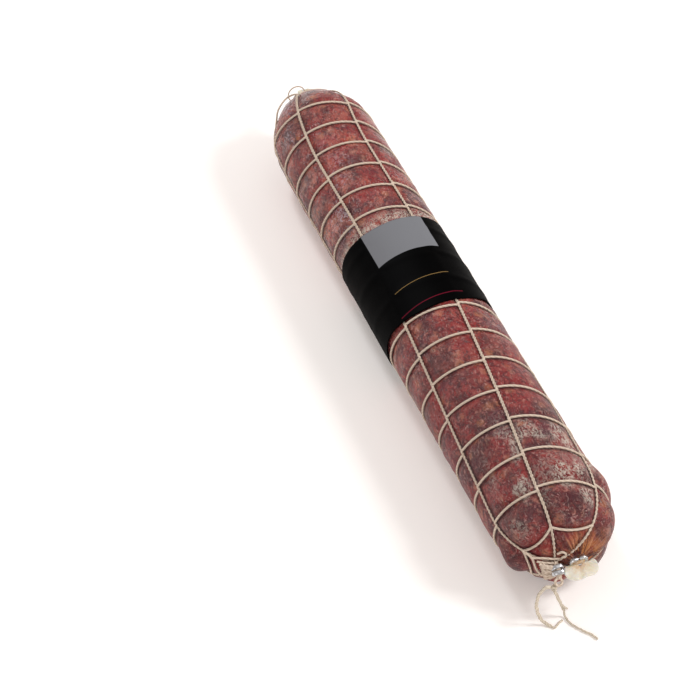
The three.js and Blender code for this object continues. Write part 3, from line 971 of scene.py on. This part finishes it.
FRONT_ROPE = [
    tuple(FRONT_GATHER),
    (0.1076, -0.0167, 0.0012),
    (0.1112, -0.0170, -0.0012),
    (0.1144, -0.0182, -0.0038),
]
BACK_ROPE = [
    tuple(BACK_GATHER),
    (-0.4665, -0.0130, -0.0040),
    (-0.4705, -0.0124, -0.0036),
    (-0.4740, -0.0112, -0.0024),
]
ROPE_STEP = 0.0006
ROPE_TWIST = 0.022
EYELET = (0.1160, -0.0190, -0.0052)
BACK_LOOP = (-0.4720, -0.0034, 0.0086)
SLACK = [
    (-0.4440, -0.0100, 0.0300),
    (-0.4500, -0.0136, 0.0268),
    (-0.4540, -0.0190, 0.0215),
    (-0.4490, -0.0262, 0.0196),
    (-0.4430, -0.0316, 0.0176),
    (-0.4380, -0.0345, 0.0130),
    (-0.4360, -0.0360, 0.0066),
]


def ring_line(middle, radius, turned, count=48):
    """A circle round `middle`, turned about Y by `turned` from lying in the XY plane."""
    turn = 2 * math.pi * np.arange(count) / count
    flat = radius * np.stack([np.cos(turn), np.sin(turn), 0 * turn], -1)
    x = flat[:, 0] * math.cos(turned)
    z = -flat[:, 0] * math.sin(turned)
    return np.stack([x, flat[:, 1], z], -1) + np.array(middle)


def bundle(route, radius, strands, twist, string):
    """Strings twisted together along a route."""
    line = spline(route, ROPE_STEP)
    along = np.arange(len(line)) * ROPE_STEP
    tangent = unit(np.gradient(line, axis=0))
    normal = unit(np.cross(tangent, (0, 1, 0)))
    side = np.cross(tangent, normal)
    made = []
    for i in range(strands):
        turn = 2 * math.pi * (i / strands + along / twist)
        middle = line + radius * (np.cos(turn)[:, None] * normal + np.sin(turn)[:, None] * side)
        made.append(sweep(middle, string, string, 8, up=(0, 0, 1)))
    return made


# The net's last meshes, drawn together beside the neck: ways of single strings, before the clips.
FRONT_STRAYS = [
    [
        (0.0915, -0.0372, 0.0098),
        (0.0985, -0.0330, 0.0080),
        (0.0990, -0.0290, -0.0050),
        (0.0995, -0.0240, -0.0140),
    ],
    [
        (0.0985, -0.0330, 0.0080),
        (0.1015, -0.0250, 0.0078),
        (0.1035, -0.0178, 0.0062),
        (0.1035, -0.0085, 0.0040),
    ],
    [
        (0.1020, -0.0305, 0.0068),
        (0.1040, -0.0240, 0.0048),
        (0.1050, -0.0186, 0.0032),
    ],
    [
        (0.1035, -0.0155, 0.0105),
        (0.1045, -0.0120, 0.0122),
        (0.1048, -0.0088, 0.0085),
        (0.1045, -0.0125, 0.0058),
    ],
]
TUFT_TOP = (0.1035, -0.0292, 0.0052)
TUFT_LOW = (0.1050, -0.0250, -0.0105)
TUFT_END_TOP = (0.1080, -0.0180, 0.0022)
TUFT_END_LOW = (0.1092, -0.0180, -0.0050)
TUFT_STRINGS = 9


def tuft():
    """Strings side by side that fan out of the net clips."""
    made = []
    for i in range(TUFT_STRINGS):
        part = i / (TUFT_STRINGS - 1)
        start = Vector(TUFT_TOP).lerp(Vector(TUFT_LOW), part)
        goal = Vector(TUFT_END_TOP).lerp(Vector(TUFT_END_LOW), part)
        bow = Vector((0.0016 * math.sin(2.4 * i), 0.0006 * math.sin(1.7 * i), 0.0005 * math.sin(3.1 * i)))
        middle = start.lerp(goal, 0.5) + bow * 0.5 + Vector((0.0008, 0, 0))
        line = spline([tuple(start), tuple(middle), tuple(goal)], 0.0005)
        beads = 0.00115 * (1 + 0.2 * np.cos(np.arange(len(line)) * 1.1 + i))
        made.append(sweep(line, beads, beads, 8, up=(1, 0, 0.4)))
    return made


def gathers():
    """The net's ends in front and behind: a short rope each, with the strings and loops beside it."""
    front = bundle(FRONT_ROPE, 0.0013, 6, ROPE_TWIST, 0.0009)
    front += [sweep(spline(way, 0.0006), 0.00085, 0.00085, 8, up=(1, 0, 0.3)) for way in FRONT_STRAYS]
    front += tuft()
    eyelet = ring_line(EYELET, 0.0027, math.radians(50))
    front.append(sweep(eyelet, 0.0010, 0.0010, 8, up=(0.6, 0, 0.8), closed=True))
    piece = mesh_piece(*join_parts(front))
    settle(piece, "front_gather", NET_STRING, "net")
    back = bundle(BACK_ROPE, 0.0014, 6, ROPE_TWIST, 0.0009)
    loop = ring_line(BACK_LOOP, 0.0078, math.radians(84))
    back.append(sweep(loop, 0.0006, 0.0006, 8, up=(1, 0, 0.1), closed=True))
    back.append(sweep(spline(SLACK, 0.0008), 0.0008, 0.0008, 8, up=(1, 0.2, 0.1)))
    piece = mesh_piece(*join_parts(back))
    settle(piece, "back_gather", NET_STRING, "net")


gathers()


# ---- the sleeve ----
SLEEVE_RADIUS = 0.0458  # inside
SLEEVE_PAPER = 0.0003


def sleeve():
    """A band that follows the strings under it, and that sags backwards a little on its sides."""
    around, rows = 240, 72
    xs = np.linspace(SLEEVE_BACK, SLEEVE_FRONT, rows)
    angles = np.linspace(-math.pi, math.pi, around, endpoint=False) + math.pi
    grid_x, grid_a = np.meshgrid(xs, angles, indexing="ij")
    x, angle = grid_x.ravel(), grid_a.ravel()
    aside = smooth_step(0.25, 1.5, np.abs(np.arctan2(np.sin(angle), np.cos(angle))))
    x = x - aside * lerp(0.006, 0.011, (x - SLEEVE_BACK) / (SLEEVE_FRONT - SLEEVE_BACK))
    skin = on_net(x, angle)
    distance = string_distance(skin)
    ridge = 0.0004 * hump(distance, 0, 0.004) + 0.00025 * rough(skin, 55, 9)

    def shell(radius):
        z = np.maximum(radius * np.cos(angle), FLOOR)
        return np.stack([x, radius * np.sin(angle), z], -1)

    outside = shell(SLEEVE_RADIUS + SLEEVE_PAPER + ridge)
    inside = shell(SLEEVE_RADIUS + ridge)
    inside[:, 2] = np.maximum(inside[:, 2], FLOOR + SLEEVE_PAPER)
    count = len(outside)
    faces = []
    for row in range(0, (rows - 1) * around, around):
        for j in range(around):
            k = (j + 1) % around
            a, b, c, d = row + j, row + k, row + around + k, row + around + j
            faces.append((a, b, c, d))
            faces.append((count + d, count + c, count + b, count + a))
    last = (rows - 1) * around
    for j in range(around):
        k = (j + 1) % around
        faces.append((j, count + j, count + k, k))
        faces.append((last + k, count + last + k, count + last + j, last + j))
    signed = np.where(angle > math.pi, angle - 2 * math.pi, angle)
    uv = np.stack([x, signed], -1)
    piece = mesh_piece(np.vstack([outside, inside]), faces, np.vstack([uv, uv]), "flat")
    settle(piece, "paper_sleeve", PAPER, "label_sleeve")


sleeve()


# ---- clips ----
SEAM = 0.00012  # half the gap between a clip's two ends
END_ROUND = 0.0009


def clip(name, node, middle, forward, size, band, metal, seam_up):
    """A strip of metal bent round a bunch, `band` wide along `forward`. Its two ends meet with a narrow gap
    between them.
    """
    forward = Vector(forward).normalized()
    side = Vector((0, 0, 1)).cross(forward).normalized()
    top = forward.cross(side)
    half_height = (size[1] - metal) / 2
    reach = (size[0] - metal) / 2 - half_height
    turn = np.linspace(0, math.pi, 24)
    corners = [(SEAM, half_height)]
    corners += [(reach + half_height * math.sin(t), half_height * math.cos(t)) for t in turn]
    corners += [(-reach - half_height * math.sin(t), -half_height * math.cos(t)) for t in turn]
    corners.append((-SEAM, half_height))
    flat = even([(*c, 0) for c in corners], 0.00015)
    out = flat.copy()
    out[:, 0] -= np.clip(flat[:, 0], -reach, reach)
    out = unit(out)
    basis = np.array([side * seam_up, top * seam_up, forward])
    along = np.linspace(0, 1, len(flat))
    run = line_length(flat)
    to_end = np.minimum(along, 1 - along) * run
    rounding = np.sqrt(1 - (1 - np.clip(to_end / END_ROUND, 0, 1)) ** 2 + 0.02)
    swelling = 1 + 0.28 * np.exp(-(((to_end - size[0] / 4) / (size[0] / 7)) ** 2))
    line = flat @ basis + np.array(middle)
    across = band / 2 * rounding
    deep = metal / 2 * rounding * swelling
    piece = mesh_piece(*sweep(line, across, deep, 20, up=out @ basis, power=0.62))
    settle(piece, name, ALUMINIUM, node)


CASING_CLIP = ((0.0145, 0.0076), 0.0046, 0.0027)  # width and height, band, metal
NET_CLIP = ((0.0102, 0.0074), 0.0032, 0.0016)
BACK_NET_CLIP = ((0.0102, 0.0074), 0.0030, 0.0016)
AHEAD = (1, 0, 0)
CLIPS = [
    ("front_casing_clip", "front_casing_clip", (0.1074, 0, FRONT_NECK_Z), AHEAD, CASING_CLIP, 1),
    ("back_casing_clip", "back_casing_clip", (-0.46425, 0, 0), AHEAD, CASING_CLIP, 1),
    ("net_clip_inner", "front_net_clip_inner", (0.1077, -0.0167, 0.0006), (1, 0, -0.35), NET_CLIP, -1),
    ("net_clip_outer", "front_net_clip_outer", (0.1110, -0.0170, -0.0014), (1, -0.05, -0.62), NET_CLIP, -1),
    ("net_clip_back", "back_net_clip", (-0.4687, -0.0127, -0.0038), AHEAD, BACK_NET_CLIP, 1),
]
for name, node, middle, forward, shape, seam_up in CLIPS:
    clip(name, node, middle, forward, *shape, seam_up)


# ---- the casing's tails ----
TAIL_ROOT = 0.0021  # how far from its start a tail begins to fan out
TAIL_THICKNESS = 0.0012
PLUG_SIDES = 64


def tail(name, start, length, first, last, turned, droop, seed):
    """A fan of thin crumpled casing that spreads from its clip, between the angles first and last."""
    rows, columns = 26, 90
    u = np.linspace(0, 1, rows)[:, None]
    v = np.linspace(0, 1, columns)[None, :]
    angle = lerp(first, last, v)
    side = 2 * v - 1
    edge = length * (1 - 0.42 * np.abs(side) ** 5)
    edge = edge * (1 + 0.05 * np.sin(7 * v + seed) + 0.03 * np.sin(17 * v + 2 * seed))
    reach = TAIL_ROOT + (edge - TAIL_ROOT) * u
    x = reach * np.cos(angle)
    y = reach * np.sin(angle) * 1.12
    ruffle = 0.0008 * u * np.sin(11 * v + seed) + 0.0003 * u * np.sin(31 * v + 3 * seed)
    curl = 0.0042 * u**3 * smooth_step(0.35, 1.0, side) + 0.0008 * u**4
    z = ruffle + curl - droop * u**2 + 0.0006 * np.sin(9 * v) * (1 - u)
    if turned:
        x = -x
    points = np.stack(np.broadcast_arrays(x, y, z), -1).reshape(-1, 3)
    points = points + np.array(start)
    i = np.arange(rows - 1)[:, None] * columns
    j = np.arange(columns - 1)[None, :]
    faces = np.stack([i + j, i + columns + j, i + columns + j + 1, i + j + 1], -1).reshape(-1, 4)
    if turned:
        faces = faces[:, ::-1]
    piece = mesh_piece(points, faces.tolist())
    near = np.broadcast_to(1 - u, (rows, columns)).ravel() ** 1.5
    add_attribute(piece, "near_clip", near)
    bpy.ops.object.select_all(action="DESELECT")
    bpy.context.view_layer.objects.active = piece
    piece.select_set(True)
    thicken = piece.modifiers.new("thickness", "SOLIDIFY")
    thicken.thickness = TAIL_THICKNESS
    thicken.offset = 0
    bpy.ops.object.modifier_apply(modifier=thicken.name)
    piece.data.shade_smooth()
    settle(piece, name, CASING, "sausage")


def plug(name, start, end):
    """The bunched casing inside a clip, which fills it."""
    line = even([start, end], 0.0004)
    part = np.linspace(0, 1, len(line))
    round_off = np.sqrt(1 - (2 * np.abs(part - 0.5)) ** 4 * 0.75)
    vertices, faces, uv = sweep(line, 0.0053 * round_off, 0.0020 * round_off, PLUG_SIDES, up=(0, 0, 1))
    middle = np.repeat(line, PLUG_SIDES, axis=0)
    turn = np.tile(2 * math.pi * np.arange(PLUG_SIDES) / PLUG_SIDES, len(line))
    crease = 1 - 0.10 * np.abs(np.sin(6.5 * turn)) - 0.05 * np.sin(17 * turn)
    piece = mesh_piece(middle + (vertices - middle) * crease[:, None], faces, uv)
    add_attribute(piece, "near_clip", np.ones(len(vertices)))
    settle(piece, name, CASING, "sausage")


plug("front_casing_bunch", (0.1042, 0, FRONT_NECK_Z), (0.1106, 0, FRONT_NECK_Z))
plug("back_casing_bunch", (-0.4678, 0, 0), (-0.4610, 0, 0))
tail(
    "front_casing_tail",
    (0.1092, 0.0, FRONT_NECK_Z - 0.0018),
    0.0138,
    math.radians(-96),
    math.radians(84),
    False,
    0.0022,
    1.0,
)
tail(
    "back_casing_tail",
    (-0.4668, 0.001, 0.0),
    0.0135,
    math.radians(-10),
    math.radians(78),
    True,
    -0.006,
    2.0,
)


# ---- floor and light ----
FLOOR_SIZE = 12
FLOOR_GAP = 0.0003  # keeps the floor clear of what rests on it
WORLD_COLOUR = (1.0, 0.93, 0.89, 1)
WORLD_STRENGTH = 0.56


def stage():
    bpy.ops.object.select_all(action="DESELECT")
    bpy.ops.mesh.primitive_plane_add(size=FLOOR_SIZE, location=(0, 0, -FLOOR_GAP))
    floor = bpy.context.object
    floor.name = "floor"
    floor.data.materials.append(floor_finish())


def area_light(name, place, aim, size, power, colour=(1, 1, 1)):
    bpy.ops.object.select_all(action="DESELECT")
    bpy.ops.object.light_add(type="AREA", location=place)
    lamp = bpy.context.object
    lamp.name = name
    lamp.data.shape = "RECTANGLE"
    lamp.data.size, lamp.data.size_y = size
    lamp.data.energy = power
    lamp.data.color = colour
    way = Vector(aim) - Vector(place)
    lamp.rotation_mode = "QUATERNION"
    lamp.rotation_quaternion = way.to_track_quat("-Z", "Y")
    return lamp


def studio():
    world = bpy.data.worlds.new("studio")
    bpy.context.scene.world = world
    world.use_nodes = True
    background = world.node_tree.nodes["Background"]
    background.inputs["Color"].default_value = WORLD_COLOUR
    background.inputs["Strength"].default_value = WORLD_STRENGTH
    bpy.context.scene.view_settings.view_transform = "Standard"


stage()
area_light("key", (0.65, 1.15, 1.40), (0, 0, 0), (0.45, 0.45), 19, (1.0, 0.99, 0.97))
area_light("back", (-1.25, -0.25, 1.25), (-0.1, 0, 0), (0.25, 0.4), 9)
glint = area_light("glint", (-1.45, -0.75, 0.95), (-0.15, 0, 0.04), (0.13, 0.22), 10, (0.93, 0.95, 1.0))
glint.visible_diffuse = False  # it only adds shine
area_light("front", (1.30, -0.90, 0.80), (0.15, 0, 0.04), (0.6, 0.6), 3.8)
studio()
